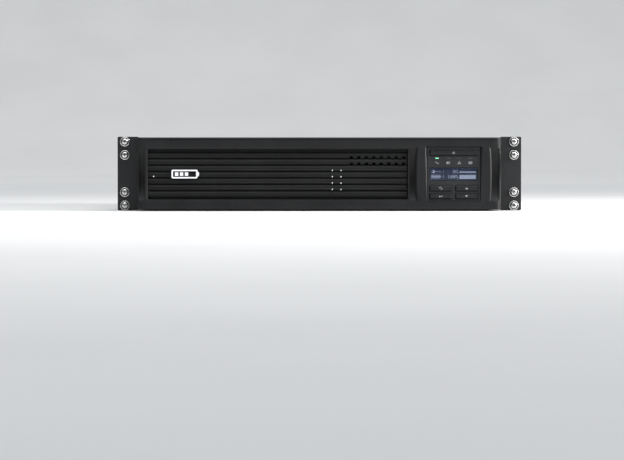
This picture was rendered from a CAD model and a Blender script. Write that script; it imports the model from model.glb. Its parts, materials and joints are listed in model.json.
"""Materials, fine detail, light and camera for the rack-mount UPS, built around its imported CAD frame."""

import json
import math
import random

import bmesh
import bpy
from mathutils import Matrix, Vector


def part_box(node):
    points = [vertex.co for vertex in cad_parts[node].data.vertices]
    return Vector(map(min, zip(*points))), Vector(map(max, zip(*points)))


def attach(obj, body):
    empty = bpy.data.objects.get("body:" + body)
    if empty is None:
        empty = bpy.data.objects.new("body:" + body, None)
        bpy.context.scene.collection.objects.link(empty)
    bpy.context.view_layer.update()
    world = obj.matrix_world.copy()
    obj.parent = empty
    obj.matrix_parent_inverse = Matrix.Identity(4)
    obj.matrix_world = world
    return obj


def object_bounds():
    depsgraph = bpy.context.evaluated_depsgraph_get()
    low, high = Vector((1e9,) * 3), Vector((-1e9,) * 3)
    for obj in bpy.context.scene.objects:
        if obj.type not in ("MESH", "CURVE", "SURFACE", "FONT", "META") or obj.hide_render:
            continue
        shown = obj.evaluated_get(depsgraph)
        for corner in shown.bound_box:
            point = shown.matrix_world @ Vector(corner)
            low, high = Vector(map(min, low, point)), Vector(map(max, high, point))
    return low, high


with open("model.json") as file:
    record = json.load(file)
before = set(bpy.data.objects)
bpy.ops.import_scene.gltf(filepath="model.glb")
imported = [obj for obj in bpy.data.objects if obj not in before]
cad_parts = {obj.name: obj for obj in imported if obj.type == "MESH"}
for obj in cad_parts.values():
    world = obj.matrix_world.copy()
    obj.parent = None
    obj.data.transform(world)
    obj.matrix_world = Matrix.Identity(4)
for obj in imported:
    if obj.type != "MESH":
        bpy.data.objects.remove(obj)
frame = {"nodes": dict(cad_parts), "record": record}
cad_lo, cad_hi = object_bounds()

MM = 0.001
WAVE_PERIOD = 0.314         # distance between the ridges of a Wave texture at a scale of 1
rng = random.Random(7)


# ---------------------------------------------------------------- node materials

class Surface:
    """A Principled material whose textures are measured in millimetres of the shared frame."""

    def __init__(self, name, color, rough, metal=0.0, coat=0.0, specular=0.5):
        self.mat = bpy.data.materials.new(name)
        self.mat.use_nodes = True
        self.tree = self.mat.node_tree
        self.bsdf = self.tree.nodes["Principled BSDF"]
        self.color = color
        self.bsdf.inputs["Base Color"].default_value = (*color, 1)
        self.bsdf.inputs["Roughness"].default_value = rough
        self.bsdf.inputs["Metallic"].default_value = metal
        self.bsdf.inputs["Coat Weight"].default_value = coat
        self.bsdf.inputs["Specular IOR Level"].default_value = specular
        self.coord = self.node("ShaderNodeTexCoord").outputs["Object"]
        self.relief = None

    def node(self, kind, **values):
        """A shader node with its settings, which are attributes or else inputs of the node."""
        made = self.tree.nodes.new(kind)
        for key, value in values.items():
            if hasattr(made, key):
                setattr(made, key, value)
            else:
                made.inputs[key.replace("_", " ").title()].default_value = value
        return made

    def link(self, a, b):
        self.tree.links.new(a, b)

    def mapped(self, stretch=(1, 1, 1)):
        """Object coordinates in millimetres, stretched along the axes."""
        mapping = self.node("ShaderNodeMapping")
        mapping.inputs["Scale"].default_value = [1 / (s * MM) for s in stretch]
        self.link(self.coord, mapping.inputs["Vector"])
        return mapping.outputs["Vector"]

    def noise(self, size, detail=2.0, stretch=(1, 1, 1)):
        """Noise whose features are about size millimetres across."""
        tex = self.node("ShaderNodeTexNoise", Detail=detail)
        tex.inputs["Scale"].default_value = 1 / size
        self.link(self.mapped(stretch), tex.inputs["Vector"])
        return tex.outputs["Fac"]

    def cells(self, size):
        """Rounded cells about size millimetres across."""
        tex = self.node("ShaderNodeTexVoronoi")
        tex.inputs["Scale"].default_value = 1 / size
        self.link(self.mapped(), tex.inputs["Vector"])
        return tex.outputs["Distance"]

    def bands(self, pitch, axis, distortion=0.0):
        """Ridges that repeat every pitch millimetres along an axis."""
        tex = self.node("ShaderNodeTexWave", bands_direction=axis)
        tex.inputs["Scale"].default_value = WAVE_PERIOD / pitch
        tex.inputs["Distortion"].default_value = distortion
        self.link(self.mapped(), tex.inputs["Vector"])
        return tex.outputs["Fac"]

    def ranged(self, value, low, high, start=0.3, end=0.7):
        """Runs from low to high while value goes from start to end."""
        span = self.node("ShaderNodeMapRange")
        for key, number in (("From Min", start), ("From Max", end), ("To Min", low), ("To Max", high)):
            span.inputs[key].default_value = number
        self.link(value, span.inputs["Value"])
        return span.outputs["Result"]

    def tint(self, value, other, start=0.35, end=0.65):
        """Blends the base colour towards another where value is high."""
        mix = self.node("ShaderNodeMix", data_type="RGBA")
        mix.inputs["A"].default_value = (*self.color, 1)
        mix.inputs["B"].default_value = (*other, 1)
        before = self.bsdf.inputs["Base Color"]
        if before.is_linked:
            self.link(before.links[0].from_socket, mix.inputs["A"])
        self.link(self.ranged(value, 0, 1, start, end), mix.inputs["Factor"])
        self.link(mix.outputs["Result"], before)
        return self

    def shade(self, value, amount):
        """Varies the brightness of the base colour by amount, and very dark colours a little more."""
        least = 0.002
        return self.tint(value, [min(1, c * (1 + amount) + least) for c in self.color])

    def gloss(self, value, low, high):
        """Roughness that runs from low to high with value."""
        self.link(self.ranged(value, low, high), self.bsdf.inputs["Roughness"])
        return self

    def bump(self, value, depth, strength=1.0):
        """Relief of about depth millimetres."""
        bump = self.node("ShaderNodeBump", Strength=strength)
        bump.inputs["Distance"].default_value = depth * MM
        self.link(value, bump.inputs["Height"])
        if self.relief is not None:
            self.link(self.relief, bump.inputs["Normal"])
        self.relief = bump.outputs["Normal"]
        self.link(self.relief, self.bsdf.inputs["Normal"])
        return self

    def glow(self, color, strength):
        self.bsdf.inputs["Emission Color"].default_value = (*color, 1)
        self.bsdf.inputs["Emission Strength"].default_value = strength
        return self


def textured_plastic(name, color, rough=0.5, grain=0.45, depth=0.03, specular=0.24):
    """Spark-eroded mould texture with faint flow marks and handling sheen."""
    s = Surface(name, color, rough, specular=specular)
    s.bump(s.cells(grain), depth).bump(s.noise(grain * 3, 3), depth * 0.8)
    s.shade(s.noise(38, 3), 0.18)
    return s.gloss(s.noise(14, 4), rough - 0.06, rough + 0.08)


def smooth_plastic(name, color, rough=0.35):
    """Moulded plastic from a polished tool."""
    s = Surface(name, color, rough)
    s.bump(s.noise(2.5, 2), 0.01).shade(s.noise(20, 3), 0.15)
    return s.gloss(s.noise(8, 3), rough - 0.06, rough + 0.1)


def powder_coat(name, color, rough=0.42):
    """Orange-peel powder coat with a fine speckle."""
    s = Surface(name, color, rough, specular=0.35)
    s.bump(s.noise(1.1, 2), 0.05).bump(s.noise(0.35, 1), 0.012)
    s.shade(s.noise(60, 4), 0.1)
    return s.gloss(s.noise(30, 4), rough - 0.02, rough + 0.04)


def plated(name, color, rough, stretch=(1, 1, 1)):
    """Bare or plated metal with fine drawing lines and a cloudy sheen."""
    s = Surface(name, color, rough, metal=1.0)
    s.bump(s.noise(0.25, 2, stretch), 0.006).shade(s.noise(12, 4), -0.12)
    return s.gloss(s.noise(3, 4), max(0.05, rough - 0.05), rough + 0.08)


def with_dark_recesses(s, size):
    """Darkens the surface where walls less than size millimetres away close it in."""
    darkest = 0.08
    opening = s.node("ShaderNodeAmbientOcclusion")
    opening.inputs["Distance"].default_value = size * MM
    return s.tint(opening.outputs["AO"], [c * darkest for c in s.color], 0.95, 0.5)


def zinc(name):
    """Zinc plate: pale crystals on brushed sheet."""
    s = Surface(name, (0.44, 0.45, 0.47), 0.4, metal=1.0)
    s.bump(s.noise(0.4, 2, (30, 1, 1)), 0.006)
    s.tint(s.cells(9), (0.51, 0.52, 0.55), 0.1, 0.7)
    return s.gloss(s.cells(7), 0.36, 0.44)


def circuit_board(name):
    """Solder mask over blocky tracks, with the weave showing faintly."""
    s = Surface(name, (0.008, 0.075, 0.03), 0.32, coat=0.3)
    tracks = s.node("ShaderNodeTexBrick", offset=0.35, squash=0.6)
    tracks.inputs["Scale"].default_value = 0.16
    tracks.inputs["Mortar Size"].default_value = 0.035
    tracks.inputs["Mortar Smooth"].default_value = 0.1
    s.link(s.mapped(), tracks.inputs["Vector"])
    s.tint(tracks.outputs["Fac"], (0.02, 0.2, 0.08), 0.2, 0.8)
    return s.bump(tracks.outputs["Fac"], 0.03).gloss(s.noise(6, 3), 0.26, 0.4)


def laminated(name):
    """Stacked transformer laminations with varnish runs."""
    s = Surface(name, (0.06, 0.062, 0.066), 0.4, metal=0.7)
    s.bump(s.bands(0.7, "Z"), 0.06).tint(s.noise(9, 4), (0.11, 0.085, 0.055), 0.5, 0.75)
    return s.gloss(s.noise(5, 3), 0.3, 0.55)


def wound(name, color, pitch, axis, metal=0.0, rough=0.35):
    """Close-laid turns of wire or tape."""
    s = Surface(name, color, rough, metal=metal)
    s.bump(s.bands(pitch, axis, 0.4), pitch * 0.22).shade(s.noise(6, 3), 0.35)
    return s.gloss(s.noise(4, 3), rough - 0.08, rough + 0.12)


def ribbon_cable(name, turn_y):
    """Grey flat cable with a rib for each conductor. They run along Y up to turn_y, then along X."""
    core_pitch = 1.27
    s = Surface(name, (0.26, 0.27, 0.29), 0.5)
    place = s.node("ShaderNodeSeparateXYZ")
    s.link(s.mapped(), place.inputs["Vector"])
    turned = s.node("ShaderNodeMath", operation="GREATER_THAN")
    s.link(place.outputs["Y"], turned.inputs[0])
    turned.inputs[1].default_value = turn_y
    ribs = s.node("ShaderNodeMix", data_type="FLOAT")
    s.link(turned.outputs["Value"], ribs.inputs["Factor"])
    s.link(s.bands(core_pitch, "X"), ribs.inputs["A"])
    s.link(s.bands(core_pitch, "Y"), ribs.inputs["B"])
    s.bump(ribs.outputs["Result"], 0.3).tint(ribs.outputs["Result"], (0.38, 0.39, 0.41), 0.1, 0.9)
    return s.gloss(s.noise(4, 3), 0.42, 0.55)


def woven(name, color, thread=0.9, depth=0.15):
    """Webbing with threads across and along it."""
    s = Surface(name, color, 0.85)
    s.bump(s.bands(thread, "Z"), depth).bump(s.bands(thread, "X"), depth)
    return s.shade(s.noise(3, 3), -0.35)


def clear(name, color, rough, transmission):
    """Clear or tinted plastic."""
    s = Surface(name, color, rough, specular=0.25)
    s.bsdf.inputs["Transmission Weight"].default_value = transmission
    return s.bump(s.noise(4, 2), 0.004)


def lit(name, color, strength):
    """A surface that glows with its own light."""
    s = Surface(name, color, 0.4)
    s.bump(s.noise(0.3, 2), 0.005)
    return s.glow(color, strength)


CHARCOAL = (0.0105, 0.0107, 0.0113)
FINISH = {
    "case_steel": powder_coat("case_steel", (0.013, 0.0133, 0.0142)),
    "panel_steel": powder_coat("panel_steel", (0.011, 0.0113, 0.0122), 0.38),
    "zinc_steel": zinc("zinc_steel"),
    "nickel": with_dark_recesses(plated("nickel", (0.72, 0.715, 0.7), 0.24), 1.6),
    "black_oxide": plated("black_oxide", (0.06, 0.06, 0.063), 0.42),
    "bezel_plastic": textured_plastic("bezel_plastic", CHARCOAL, 0.44, specular=0.21),
    "insert_plastic": textured_plastic("insert_plastic", (0.0065, 0.0066, 0.007), 0.46, specular=0.16),
    "badge_plastic": smooth_plastic("badge_plastic", (0.8, 0.8, 0.81), 0.3),
    "display_plastic": textured_plastic("display_plastic", (0.017, 0.0175, 0.0187), 0.42, 0.3, 0.015),
    "button_plastic": textured_plastic("button_plastic", (0.0125, 0.0128, 0.0138), 0.38, 0.3, 0.015),
    "lcd_glass": clear("lcd_glass", (0.86, 0.92, 1.0), 0.05, 1.0),
    "lcd_body": lit("lcd_body", (0.006, 0.011, 0.03), 0.6),
    "light_pipe": clear("light_pipe", (0.75, 0.85, 0.8), 0.25, 0.7),
    "circuit_board": circuit_board("circuit_board"),
    "switch_plastic": smooth_plastic("switch_plastic", (0.03, 0.03, 0.032)),
    "ribbon": ribbon_cable("ribbon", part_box("display_cable")[1][1] / MM - 20),
    "battery_case": textured_plastic("battery_case", (0.03, 0.031, 0.034), 0.5, 0.7, 0.05),
    "brass": plated("brass", (0.72, 0.53, 0.22), 0.28),
    "lead_insulation": smooth_plastic("lead_insulation", (0.018, 0.018, 0.019), 0.38),
    "connector_grey": smooth_plastic("connector_grey", (0.2, 0.21, 0.23), 0.42),
    "connector_red": smooth_plastic("connector_red", (0.3, 0.02, 0.015), 0.4),
    "webbing": woven("webbing", (0.5, 0.48, 0.4)),
    "capacitor_sleeve": smooth_plastic("capacitor_sleeve", (0.012, 0.02, 0.07), 0.28),
    "extrusion": plated("extrusion", (0.55, 0.56, 0.58), 0.34, (1, 40, 1)),
    "relay_plastic": smooth_plastic("relay_plastic", (0.016, 0.02, 0.035), 0.4),
    "copper_winding": wound("copper_winding", (0.52, 0.2, 0.07), 1.4, "X", 0.8, 0.3),
    "core_steel": laminated("core_steel"),
    "winding_wrap": wound("winding_wrap", (0.42, 0.24, 0.05), 9, "Y", rough=0.4),
    "fan_plastic": smooth_plastic("fan_plastic", (0.014, 0.0145, 0.016), 0.4),
    "inlet_plastic": smooth_plastic("inlet_plastic", (0.013, 0.013, 0.014), 0.42),
    "breaker_white": smooth_plastic("breaker_white", (0.75, 0.75, 0.72), 0.35),
    "port_metal": plated("port_metal", (0.6, 0.61, 0.63), 0.3),
}
PRINT = {
    "white": smooth_plastic("print_white", (0.34, 0.35, 0.37), 0.55),
    "dim": smooth_plastic("print_dim", (0.3, 0.31, 0.33), 0.55),
    "pixel": lit("lcd_pixel", (0.24, 0.256, 0.313), 1.3),
    "segment": lit("lcd_segment", (0.24, 0.256, 0.313), 0.75),
    "green": lit("led_green", (0.2, 0.8, 0.42), 0.8),
    "unlit": smooth_plastic("led_unlit", (0.022, 0.024, 0.024), 0.3),
    "resistor": smooth_plastic("resistor_body", (0.32, 0.25, 0.15), 0.45),
    "solder": plated("solder", (0.66, 0.67, 0.69), 0.3),
    "chip": smooth_plastic("chip_body", (0.012, 0.012, 0.013), 0.45),
    "film": smooth_plastic("film_capacitor", (0.45, 0.3, 0.03), 0.35),
}


# ---------------------------------------------------------------- CAD nodes

# How far the edges of each material are rounded, in millimetres, and of the materials not listed
DEFAULT_EDGE = 0.12
EDGE = {
    "bezel_plastic": 0.5, "insert_plastic": 0.25, "display_plastic": 0.3, "button_plastic": 0.35,
    "battery_case": 1.0, "relay_plastic": 0.6, "case_steel": 0.25, "panel_steel": 0.25,
    "zinc_steel": 0.2, "core_steel": 0.3, "winding_wrap": 1.2, "inlet_plastic": 0.35,
    "badge_plastic": 0.15, "webbing": 0.4, "connector_grey": 0.5, "connector_red": 0.5,
}


def soften(obj, width):
    """Joins the facets and rounds the sharp edges, so that they catch light."""
    weld = obj.modifiers.new("weld", "WELD")
    weld.merge_threshold = 0.002 * MM
    bevel = obj.modifiers.new("bevel", "BEVEL")
    bevel.width = width * MM
    bevel.segments = 2
    bevel.limit_method = "ANGLE"
    bevel.angle_limit = math.radians(38)
    bevel.harden_normals = True
    bevel.miter_outer = "MITER_ARC"


def smooth_shaded(mesh):
    """Shades the mesh smoothly, whatever normals it came with."""
    for layer in ("custom_normal", "sharp_edge", "sharp_face"):
        if layer in mesh.attributes:
            mesh.attributes.remove(mesh.attributes[layer])
    mesh.polygons.foreach_set("use_smooth", [True] * len(mesh.polygons))


node_slot = {row["node"]: row["material_slot"] for row in frame["record"]["subparts"]}
for node, obj in frame["nodes"].items():
    obj.data.materials.clear()
    obj.data.materials.append(FINISH[node_slot[node]].mat)
    smooth_shaded(obj.data)
    soften(obj, EDGE.get(node_slot[node], DEFAULT_EDGE))


# ---------------------------------------------------------------- building blocks

def finished(name, bm, body, surfaces, bevel=0.0):
    """Turns a bmesh into a named piece on a body."""
    mesh = bpy.data.meshes.new(name)
    bmesh.ops.recalc_face_normals(bm, faces=bm.faces)
    bm.to_mesh(mesh)
    bm.free()
    for surface in surfaces:
        mesh.materials.append(surface.mat)
    obj = bpy.data.objects.new(name, mesh)
    bpy.context.scene.collection.objects.link(obj)
    if bevel:
        smooth_shaded(mesh)
        soften(obj, bevel)
    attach(obj, body)
    return obj


def prism(bm, outline, y0, y1, index=0):
    """Solid with an X-Z outline, in millimetres, between two depths."""
    front = [bm.verts.new((x * MM, y0 * MM, z * MM)) for x, z in outline]
    back = [bm.verts.new((x * MM, y1 * MM, z * MM)) for x, z in outline]
    faces = [bm.faces.new(front), bm.faces.new(back[::-1])]
    count = len(outline)
    for i in range(count):
        j = (i + 1) % count
        faces.append(bm.faces.new((front[j], front[i], back[i], back[j])))
    for face in faces:
        face.material_index = index


def bar(bm, x0, x1, z0, z1, y0, y1, index=0):
    prism(bm, [(x0, z0), (x1, z0), (x1, z1), (x0, z1)], y0, y1, index)


SHARPEST_MITRE = 0.35       # keeps the corner of a sharp turn from running out far beyond the line


def stroke(bm, points, width, y0, y1, closed=False):
    """A drawn line of even width through X-Z points, mitred at its corners."""
    points = [Vector(p) for p in points]
    count = len(points)
    rings = []
    for i, here in enumerate(points):
        ways = []
        if closed or i > 0:
            ways.append((here - points[i - 1]).normalized())
        if closed or i < count - 1:
            ways.append((points[(i + 1) % count] - here).normalized())
        along = sum(ways, Vector((0, 0))).normalized()
        half = width / 2 / max(SHARPEST_MITRE, along.dot(ways[0]))
        side = Vector((-along.y, along.x)) * half
        left, right = here + side, here - side
        corners = ((left, y0), (right, y0), (right, y1), (left, y1))
        rings.append([bm.verts.new((p.x * MM, y * MM, p.y * MM)) for p, y in corners])
    if not closed:
        bm.faces.new(rings[0][::-1])
        bm.faces.new(rings[-1])
    for i in range(count if closed else count - 1):
        a, b = rings[i], rings[(i + 1) % count]
        for k in range(4):
            m = (k + 1) % 4
            bm.faces.new((a[k], a[m], b[m], b[k]))


def arc(cx, cz, r, start, end, steps=20):
    """Points on an arc, with angles in degrees from +X towards +Z."""
    return [
        (cx + r * math.cos(math.radians(start + (end - start) * i / steps)),
         cz + r * math.sin(math.radians(start + (end - start) * i / steps)))
        for i in range(steps + 1)
    ]


def box_mm(node):
    """(x0, x1, y0, y1, z0, z1) of a CAD node in millimetres."""
    lo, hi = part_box(node)
    return [v / MM for pair in zip(lo, hi) for v in pair]


# ---------------------------------------------------------------- display

PRINT_T = 0.06              # thickness of a printed symbol
KEY_DISH = 0.3              # depth of the dish in the face of a key
LIGHT_HALF = 2.1            # half the width of one status light
FACE_Y = box_mm("display_housing")[2]

DIGITS = {
    "0": (" ### ", "#   #", "#  ##", "# # #", "##  #", "#   #", " ### "),
    "1": ("  #  ", " ##  ", "  #  ", "  #  ", "  #  ", "  #  ", " ### "),
    "%": ("##   ", "##  #", "   # ", "  #  ", " #   ", "#  ##", "   ##"),
    ":": ("     ", "  #  ", "  #  ", "     ", "  #  ", "  #  ", "     "),
}
PLUG_ICON = (
    "    ###              ",
    "######               ",
    "    ####  ##    ##   ",
    "    #### #  #  #  # #",
    "    ####     ##    # ",
    "######               ",
    "    ###              ",
)
BATTERY_ICON = (
    "###################  ",
    "#                 #  ",
    "# ### ### ### ### ###",
    "# ### ### ### ### # #",
    "# ### ### ### ### ###",
    "#                 #  ",
    "###################  ",
)


def dot_matrix(bm, rows, x, z, pitch, y0, y1):
    """A square dot for every mark in the rows, from the top left at x, z."""
    side = pitch * 0.9
    for r, row in enumerate(rows):
        for c, mark in enumerate(row):
            if mark != " ":
                left, top = x + c * pitch, z - r * pitch
                bar(bm, left, left + side, top - side, top, y0, y1)


def lcd_contents():
    """Load and charge in dots, with a thin line for no load and a full bar for full charge."""
    window = box_mm("lcd_window")
    y1 = box_mm("lcd_module")[2] + 0.45
    y0 = y1 - 0.1
    pitch = 0.54
    colon_at, number_at, digit_step = 24 * pitch, 36 * pitch, 6 * pitch
    margin = 2
    left = window[0] + margin
    middle = (window[4] + window[5]) / 2
    load_top, charge_top = middle + 4.9, middle - 1.1
    bm = bmesh.new()
    for top, icon, number in ((load_top, PLUG_ICON, "  0%"), (charge_top, BATTERY_ICON, "100%")):
        dot_matrix(bm, icon, left, top, pitch, y0, y1)
        dot_matrix(bm, DIGITS[":"], left + colon_at, top, pitch, y0, y1)
        for i, digit in enumerate(number):
            if digit != " ":
                dot_matrix(bm, DIGITS[digit], left + number_at + i * digit_step, top, pitch, y0, y1)
    finished("lcd_pixels", bm, "chassis", [PRINT["pixel"]])

    bm = bmesh.new()
    x0, x1 = left + 33.4, window[1] - margin
    bar(bm, x0, x1, charge_top - 4.6, charge_top + 0.1, y0, y1)
    bar(bm, x0, x1, load_top - 3.2, load_top - 1.7, y0, y1)
    finished("lcd_bars", bm, "chassis", [PRINT["segment"]])


def light_places():
    """The middle of each of the four status lights, from left to right."""
    lights = box_mm("light_pipes")
    first, last = lights[0] + LIGHT_HALF, lights[1] - LIGHT_HALF
    return [first + i * (last - first) / 3 for i in range(4)]


def status_symbols():
    """Sine wave, battery, warning triangle and crossed battery under the four lights."""
    wave_x, battery_x, warning_x, crossed_x = light_places()
    lights = box_mm("light_pipes")
    z = (lights[4] + lights[5]) / 2 - 5.5
    y0, y1 = FACE_Y - PRINT_T, FACE_Y
    bm = bmesh.new()

    def battery(x):
        corners = [(x - 1.9, z - 1.1), (x + 1.9, z - 1.1), (x + 1.9, z + 0.9), (x - 1.9, z + 0.9)]
        stroke(bm, corners, 0.3, y0, y1, closed=True)
        for terminal in (x - 1.1, x + 1.1):
            bar(bm, terminal - 0.4, terminal + 0.4, z + 1.15, z + 1.55, y0, y1)

    steps = 24
    turns = [2 * math.pi * i / steps for i in range(steps + 1)]
    wave = [(wave_x + LIGHT_HALF * (a / math.pi - 1), z + 1.1 * math.sin(a)) for a in turns]
    stroke(bm, wave, 0.34, y0, y1)

    battery(battery_x)
    bar(bm, battery_x - 1.4, battery_x + 0.2, z - 0.6, z + 0.4, y0, y1)

    triangle = [(warning_x - 1.8, z - 1.2), (warning_x + 1.8, z - 1.2), (warning_x, z + 1.6)]
    stroke(bm, triangle, 0.32, y0, y1, closed=True)
    for low, high in ((-0.3, 0.6), (-0.8, -0.5)):
        bar(bm, warning_x - 0.16, warning_x + 0.16, z + low, z + high, y0, y1)

    battery(crossed_x)
    left, right = crossed_x - 1.9, crossed_x + 1.9
    stroke(bm, [(left, z - 1.5), (right, z + 1.7)], 0.3, y0 - 0.02, y1)
    stroke(bm, [(left, z + 1.7), (right, z - 1.5)], 0.3, y0 - 0.04, y1)
    finished("status_symbols", bm, "chassis", [PRINT["white"]])


def status_lights():
    """Round-ended lenses on the light pipes. The first one is lit."""
    half, r = 1.4, 0.5
    z = box_mm("light_pipes")[4] + 0.55
    for i, x in enumerate(light_places()):
        bm = bmesh.new()
        outline = arc(x - half, z, r, 90, 270, 8) + arc(x + half, z, r, -90, 90, 8)
        prism(bm, outline, FACE_Y - 0.12, FACE_Y + 0.4)
        lens = PRINT["green"] if i == 0 else PRINT["unlit"]
        finished(f"status_light_{i + 1}", bm, "chassis", [lens], 0.08)


def key_symbols():
    """Printed symbols on the keys, each riding on its own key."""
    def power(bm, x, z, y0, y1):
        stroke(bm, arc(x, z - 0.1, 1.25, 125, 415, 28), 0.38, y0, y1)
        bar(bm, x - 0.2, x + 0.2, z, z + 1.5, y0, y1)

    def escape(bm, x, z, y0, y1):
        stroke(bm, arc(x + 0.5, z - 0.3, 1.1, -100, 90, 16) + [(x - 1, z + 0.8)], 0.36, y0, y1)
        prism(bm, [(x - 2.2, z + 0.8), (x - 1, z + 0.1), (x - 1, z + 1.5)], y0, y1)

    def enter(bm, x, z, y0, y1):
        stroke(bm, [(x + 1.7, z + 1.1), (x + 1.7, z - 0.4), (x - 0.7, z - 0.4)], 0.42, y0, y1)
        prism(bm, [(x - 2.2, z - 0.4), (x - 0.7, z - 1.3), (x - 0.7, z + 0.5)], y0, y1)

    def up(bm, x, z, y0, y1):
        prism(bm, [(x - 1.8, z - 0.9), (x + 1.8, z - 0.9), (x, z + 0.9)], y0, y1)

    def down(bm, x, z, y0, y1):
        prism(bm, [(x - 1.8, z + 0.9), (x, z - 0.9), (x + 1.8, z + 0.9)], y0, y1)

    drawings = {"power": power, "escape": escape, "enter": enter, "up": up, "down": down}
    for key, draw in drawings.items():
        x0, x1, y0, _, z0, z1 = box_mm(f"{key}_button")
        face = y0 + KEY_DISH
        bm = bmesh.new()
        draw(bm, (x0 + x1) / 2, (z0 + z1) / 2, face - PRINT_T, face)
        finished(f"{key}_symbol", bm, f"{key}_key", [PRINT["white"]])


lcd_contents()
status_symbols()
status_lights()
key_symbols()


# ---------------------------------------------------------------- electronics and battery drawer

def islands(node):
    """The box of each separate solid in a CAD node, in millimetres, sorted by place."""
    mesh = frame["nodes"][node].data
    places = {}
    at = [places.setdefault(tuple(round(c / MM, 2) for c in v.co), len(places)) for v in mesh.vertices]
    leader = list(range(len(places)))

    def find(i):
        while leader[i] != i:
            leader[i] = leader[leader[i]]
            i = leader[i]
        return i

    for polygon in mesh.polygons:
        first = find(at[polygon.vertices[0]])
        for v in polygon.vertices[1:]:
            leader[find(at[v])] = first
    groups = {}
    for place, i in places.items():
        groups.setdefault(find(i), []).append(place)
    boxes = []
    for group in groups.values():
        xs, ys, zs = zip(*group)
        boxes.append((min(xs), max(xs), min(ys), max(ys), min(zs), max(zs)))
    return sorted(boxes)


def slab(bm, x0, x1, y0, y1, z0, z1, index=0):
    """Box from its limits in X, Y and Z order."""
    bar(bm, x0, x1, z0, z1, y0, y1, index)


def lathe(bm, profile, place, index=0, steps=24):
    """Solid of revolution about a local axis. Profile points are (radius, distance) in millimetres."""
    rings = []
    for radius, height in profile:
        ring = []
        for i in range(steps):
            a = 2 * math.pi * i / steps
            point = Vector((radius * math.cos(a), radius * math.sin(a), height)) * MM
            ring.append(bm.verts.new(place @ point))
        rings.append(ring)
    faces = [bm.faces.new(rings[0][::-1]), bm.faces.new(rings[-1])]
    for low, high in zip(rings, rings[1:]):
        for i in range(steps):
            j = (i + 1) % steps
            faces.append(bm.faces.new((low[i], low[j], high[j], high[i])))
    for face in faces:
        face.material_index = index


def at_mm(x, y, z, axis="Z"):
    """Placement at a point in millimetres, turned so that the local Z axis lies along an axis."""
    turn = {
        "X": Matrix.Rotation(math.pi / 2, 4, "Y"),
        "Y": Matrix.Rotation(-math.pi / 2, 4, "X"),
        "Z": Matrix.Identity(4),
    }[axis]
    return Matrix.Translation(Vector((x, y, z)) * MM) @ turn


def ring_turn(bm, centre, direction, major, minor, around=18, across=6):
    """One turn of wire: a small torus whose plane holds the direction and the Z axis."""
    out = Vector(direction).normalized()
    up = Vector((0, 0, 1))
    side = out.cross(up)
    grid = []
    for i in range(around):
        a = 2 * math.pi * i / around
        spoke = out * math.cos(a) + up * math.sin(a)
        ring = []
        for j in range(across):
            b = 2 * math.pi * j / across
            point = Vector(centre) + spoke * (major + minor * math.cos(b)) + side * minor * math.sin(b)
            ring.append(bm.verts.new(point * MM))
        grid.append(ring)
    for i in range(around):
        for j in range(across):
            k, m = (i + 1) % around, (j + 1) % across
            face = bm.faces.new((grid[i][j], grid[k][j], grid[k][m], grid[i][m]))
            face.smooth = True


def choke_turns():
    """Wire wound round each toroid in groups, with one turn missing between them."""
    turns, group = 30, 10
    wire = 0.75
    bm = bmesh.new()
    for x0, x1, y0, y1, z0, z1 in islands("chokes"):
        cx, cy, cz = (x0 + x1) / 2, (y0 + y1) / 2, (z0 + z1) / 2
        outer = (y1 - y0) / 2
        tube = (z1 - z0) / 2 - 0.3
        middle = outer - tube
        for i in range(turns):
            if i % group == group - 1:
                continue
            a = 2 * math.pi * (i + 0.1 * rng.random()) / turns
            out = (math.cos(a), math.sin(a), 0)
            centre = (cx + out[0] * middle, cy + out[1] * middle, cz)
            ring_turn(bm, centre, out, tube, wire)
    finished("choke_turns", bm, "chassis", [FINISH["copper_winding"]])


def capacitor_tops():
    """Scored vent plates on the big capacitors, and the pale stripe down each sleeve."""
    plate = 0.4
    bm = bmesh.new()
    for x0, x1, y0, y1, z0, z1 in islands("capacitors"):
        cx, cy, r = (x0 + x1) / 2, (y0 + y1) / 2, (x1 - x0) / 2
        lathe(bm, [(r * 0.8, 0), (r * 0.8, 0.25), (r * 0.76, plate)], at_mm(cx, cy, z1))
        reach, half = r * 0.6, 0.25
        outline = ((-reach, -half), (reach, -half), (reach, half), (-reach, half))
        for turn in (0, 60, 120):
            place = at_mm(cx, cy, z1 + plate) @ Matrix.Rotation(math.radians(turn), 4, "Z")
            low = [bm.verts.new(place @ (Vector((u, v, 0)) * MM)) for u, v in outline]
            high = [bm.verts.new(v.co + Vector((0, 0, 0.15 * MM))) for v in low]
            bm.faces.new(low[::-1])
            bm.faces.new(high)
            for i in range(4):
                j = (i + 1) % 4
                bm.faces.new((low[i], low[j], high[j], high[i]))
        for i in range(6):
            bottom = z0 + 3 + i * 5
            slab(bm, cx - 1.6, cx + 1.6, y0 - 0.12, y0 + 1, bottom, bottom + 3.2, 1)
    finished("capacitor_tops", bm, "chassis", [FINISH["extrusion"], PRINT["dim"]], 0.05)


BOARD_SURFACES = [
    PRINT["chip"], PRINT["solder"], PRINT["resistor"], FINISH["capacitor_sleeve"], PRINT["film"],
    FINISH["connector_grey"],
]
CHIP, SOLDER, RESISTOR, SLEEVE, FILM, HEADER = range(len(BOARD_SURFACES))


def centred(bm, x, y, w, d, z0, z1, index):
    """Box w wide and d deep round a point of the board."""
    slab(bm, x - w / 2, x + w / 2, y - d / 2, y + d / 2, z0, z1, index)


def chip(bm, x, y, z, w, d):
    """Flat package with six legs on each side."""
    legs, inset = 6, 0.9
    centred(bm, x, y, w, d - 2, z + 0.4, z + 2.6, CHIP)
    for i in range(legs):
        leg_x = x - w / 2 + inset + i * (w - 2 * inset) / (legs - 1)
        centred(bm, leg_x, y, 0.5, d, z, z + 0.7, SOLDER)


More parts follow.
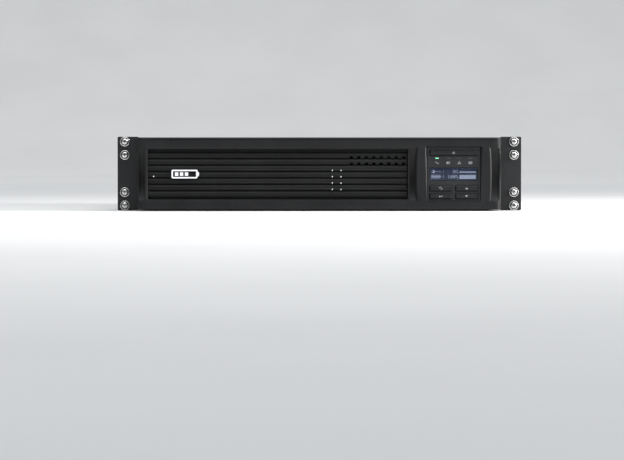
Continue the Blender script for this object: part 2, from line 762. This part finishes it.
def resistor(bm, x, y, z, w, d):
    """Body with thicker ends, lying on the board, and its leads."""
    end = [(1, 1.4), (1.2, 1.6), (1.2, 2.6), (0.9, 3)]
    profile = [(r, -along) for r, along in reversed(end)] + end
    lathe(bm, profile, at_mm(x, y, z + 1.3, "X"), RESISTOR, 12)
    centred(bm, x, y, 8.8, 0.5, z + 1.1, z + 1.5, SOLDER)


def can(bm, x, y, z, w, d):
    """Upright capacitor of one of three heights, with a bare top."""
    height = rng.choice((6, 9, 12))
    lathe(bm, [(2.9, 0), (3, 0.4), (3, height - 0.5), (2.7, height)], at_mm(x, y, z), SLEEVE, 16)
    lathe(bm, [(2.3, 0), (2.2, 0.15)], at_mm(x, y, z + height), SOLDER, 16)


def film(bm, x, y, z, w, d):
    """Boxed film capacitor."""
    centred(bm, x, y, w, d, z, z + 9, FILM)


def header(bm, x, y, z, w, d):
    """Socket with four pins."""
    pins, pitch = 4, 3
    centred(bm, x, y, w, d, z, z + 5, HEADER)
    for i in range(pins):
        pin_x = x + (i - (pins - 1) / 2) * pitch
        centred(bm, pin_x, y, 0.7, 0.7, z + 4, z + 7, SOLDER)


# Each small part with its width and depth. Resistors are listed twice, as the commonest
SMALL_PARTS = (
    (chip, 10, 7), (resistor, 9, 2.4), (resistor, 9, 2.4), (can, 6, 6), (film, 13, 5), (header, 12, 5),
)


def board_parts(tries=900):
    """Small parts soldered to the main board, clear of its edges, the large parts and each other."""
    edge_gap, part_gap = 3, 1
    x0, x1, y0, y1, _, top = box_mm("main_board")
    taken = []
    for node in ("capacitors", "heatsinks", "relays", "chokes", "board_standoffs", "power_wiring"):
        taken += [part[:4] for part in islands(node)]

    def free(ax, bx, ay, by):
        across = ax > x0 + edge_gap and bx < x1 - edge_gap
        along = ay > y0 + edge_gap and by < y1 - edge_gap
        return across and along and all(
            bx < left - part_gap or ax > right + part_gap or by < near - part_gap or ay > far + part_gap
            for left, right, near, far in taken
        )

    bm = bmesh.new()
    for _ in range(tries):
        draw, w, d = rng.choice(SMALL_PARTS)
        x, y = rng.uniform(x0, x1), rng.uniform(y0, y1)
        area = (x - w / 2, x + w / 2, y - d / 2, y + d / 2)
        if free(*area):
            taken.append(area)
            draw(bm, x, y, top, w, d)
    finished("board_parts", bm, "chassis", BOARD_SURFACES, 0.12)


def battery_lids():
    """Raised lid panel with vent caps on the terminal face of each battery block."""
    caps, cap_inset = 6, 34
    bm = bmesh.new()
    blocks = islands("battery_blocks")
    middle = sum(b[2] + b[3] for b in blocks) / 2 / len(blocks)
    for x0, x1, y0, y1, z0, z1 in blocks:
        front = (y0 + y1) / 2 < middle
        face, out = (y0, -1) if front else (y1, 1)
        low, high = sorted((face - out * 0.2, face + out * 0.7))
        slab(bm, x0 + 24, x1 - 24, low, high, z0 + 9, z1 - 9)
        for i in range(caps):
            x = x0 + cap_inset + i * (x1 - x0 - 2 * cap_inset) / (caps - 1)
            cap = [(5.2, -0.1 * out), (5.2, 0.5 * out), (4.6, 0.9 * out)]
            lathe(bm, cap, at_mm(x, face + out * 0.6, (z0 + z1) / 2, "Y"))
        for z in (z0 + 5, z1 - 5):
            slab(bm, x0 + 6, x1 - 6, low, high, z - 1.2, z + 1.2)
    finished("battery_lids", bm, "battery_drawer", [FINISH["battery_case"]], 0.2)


def terminal_sleeves():
    """Crimped push-on sleeves over the battery terminals."""
    bm = bmesh.new()
    for x0, x1, y0, y1, z0, z1 in islands("battery_terminals"):
        x, z = (x0 + x1) / 2, (z0 + z1) / 2
        slab(bm, x - 1.7, x + 1.7, y0 + 0.6, y1 - 0.8, z - 3.9, z + 3.9)
    finished("terminal_sleeves", bm, "battery_drawer", [FINISH["connector_red"]], 0.7)


def port_tongues():
    """Contact tongues inside the two small data ports."""
    bm = bmesh.new()
    widest = 18
    for x0, x1, _, y1, z0, z1 in islands("data_ports"):
        if x1 - x0 >= widest:
            continue
        x, z = (x0 + x1) / 2, (z0 + z1) / 2
        slab(bm, x - 3, x + 3, y1 - 11, y1 - 1.5, z - 1, z + 1.4, 0)
        for i in range(4):
            px = x - 2.1 + 1.4 * i
            slab(bm, px - 0.35, px + 0.35, y1 - 10, y1 - 1.6, z + 1.3, z + 1.55, 1)
    surfaces = [FINISH["inlet_plastic"], FINISH["brass"]]
    finished("port_tongues", bm, "chassis", surfaces, 0.1)


choke_turns()
capacitor_tops()
board_parts()
battery_lids()
terminal_sleeves()
port_tongues()


# ---------------------------------------------------------------- stage, light and camera

def backdrop(floor_z, reach=9.0, rise=5.0, radius=2.5):
    """A pale floor that curves up into a wall far behind the object, out of any camera's way.

    Sizes here and for the lights and the camera are in metres.
    """
    curve = arc(reach - radius, radius, radius, -90, 0, 16)
    profile = [(-reach, 0), *curve, (reach, rise)]
    bm = bmesh.new()
    rows = [[bm.verts.new((x, y, floor_z + z)) for y, z in profile] for x in (-reach, reach)]
    for i in range(len(profile) - 1):
        bm.faces.new((rows[0][i], rows[1][i], rows[1][i + 1], rows[0][i + 1]))
    mesh = bpy.data.meshes.new("backdrop")
    bm.to_mesh(mesh)
    bm.free()
    mesh.polygons.foreach_set("use_smooth", [True] * len(mesh.polygons))
    paper = Surface("backdrop_paper", (0.66, 0.66, 0.655), 0.8)
    paper.shade(paper.noise(300, 3), 0.04).bump(paper.noise(1.2, 2), 0.05)
    mesh.materials.append(paper.mat)
    obj = bpy.data.objects.new("backdrop", mesh)
    bpy.context.scene.collection.objects.link(obj)


def softbox(name, location, target, size, power):
    """A rectangular lamp that faces its target."""
    lamp = bpy.data.lights.new(name, "AREA")
    lamp.shape = "RECTANGLE"
    lamp.size, lamp.size_y = size
    lamp.energy = power
    obj = bpy.data.objects.new(name, lamp)
    obj.location = location
    obj.rotation_euler = (Vector(target) - Vector(location)).to_track_quat("-Z", "Y").to_euler()
    bpy.context.scene.collection.objects.link(obj)


backdrop(cad_lo.z - 0.0005)
softbox("key_light", (1.2, -1.0, 0.95), (0.2, 0, 0), (0.4, 0.5), 7)
softbox("rim_light", (1.6, -0.3, 0.5), (0.2, 0, 0), (0.4, 0.6), 46)
softbox("top_light", (0.2, -0.45, 1.6), (0.05, 0, 0), (2.4, 0.6), 20)
softbox("wall_light", (0, 4.5, 5.0), (0, 9.0, 1.5), (7.0, 1.5), 105)
bpy.context.scene.view_settings.view_transform = "Standard"


def studio_world(horizon=0.045, zenith=1.1, pale=0.62):
    """Dim round the horizon and bright overhead, like a room with a large ceiling softbox.

    The camera itself sees a plain pale backdrop beyond the floor.
    """
    world = bpy.data.worlds.new("studio")
    world.use_nodes = True
    tree = world.node_tree
    direction = tree.nodes.new("ShaderNodeSeparateXYZ")
    tree.links.new(tree.nodes.new("ShaderNodeTexCoord").outputs["Generated"], direction.inputs["Vector"])
    height = tree.nodes.new("ShaderNodeMapRange")
    height.interpolation_type = "SMOOTHSTEP"
    height.inputs["To Min"].default_value = horizon
    height.inputs["To Max"].default_value = zenith
    tree.links.new(direction.outputs["Z"], height.inputs["Value"])
    background = tree.nodes["Background"]
    background.inputs["Color"].default_value = (0.93, 0.96, 1.0, 1)
    tree.links.new(height.outputs["Result"], background.inputs["Strength"])
    backdrop_light = tree.nodes.new("ShaderNodeBackground")
    backdrop_light.inputs["Color"].default_value = (0.98, 0.99, 1.0, 1)
    backdrop_light.inputs["Strength"].default_value = pale
    shown = tree.nodes.new("ShaderNodeMixShader")
    tree.links.new(tree.nodes.new("ShaderNodeLightPath").outputs["Is Camera Ray"], shown.inputs["Fac"])
    tree.links.new(background.outputs["Background"], shown.inputs[1])
    tree.links.new(backdrop_light.outputs["Background"], shown.inputs[2])
    tree.links.new(shown.outputs["Shader"], tree.nodes["World Output"].inputs["Surface"])
    bpy.context.scene.world = world


studio_world()

# The camera looks at the front from about three metres, with the object above the middle of the
# picture. It stays above the floor and tilts down a little for that framing.
CAMERA_X = -0.0088
CAMERA_AWAY = 3.05
CAMERA_Z = 0.012
AIM_Z = -0.0676
camera = bpy.data.objects.new("camera", bpy.data.cameras.new("camera"))
camera.location = (CAMERA_X, -CAMERA_AWAY, CAMERA_Z)
aim = Vector((CAMERA_X, 0, AIM_Z))
camera.rotation_euler = (aim - camera.location).to_track_quat("-Z", "Y").to_euler()
camera.data.lens = 147
camera.data.sensor_width = 36
camera.data.clip_end = 60
bpy.context.scene.collection.objects.link(camera)
bpy.context.scene.camera = camera
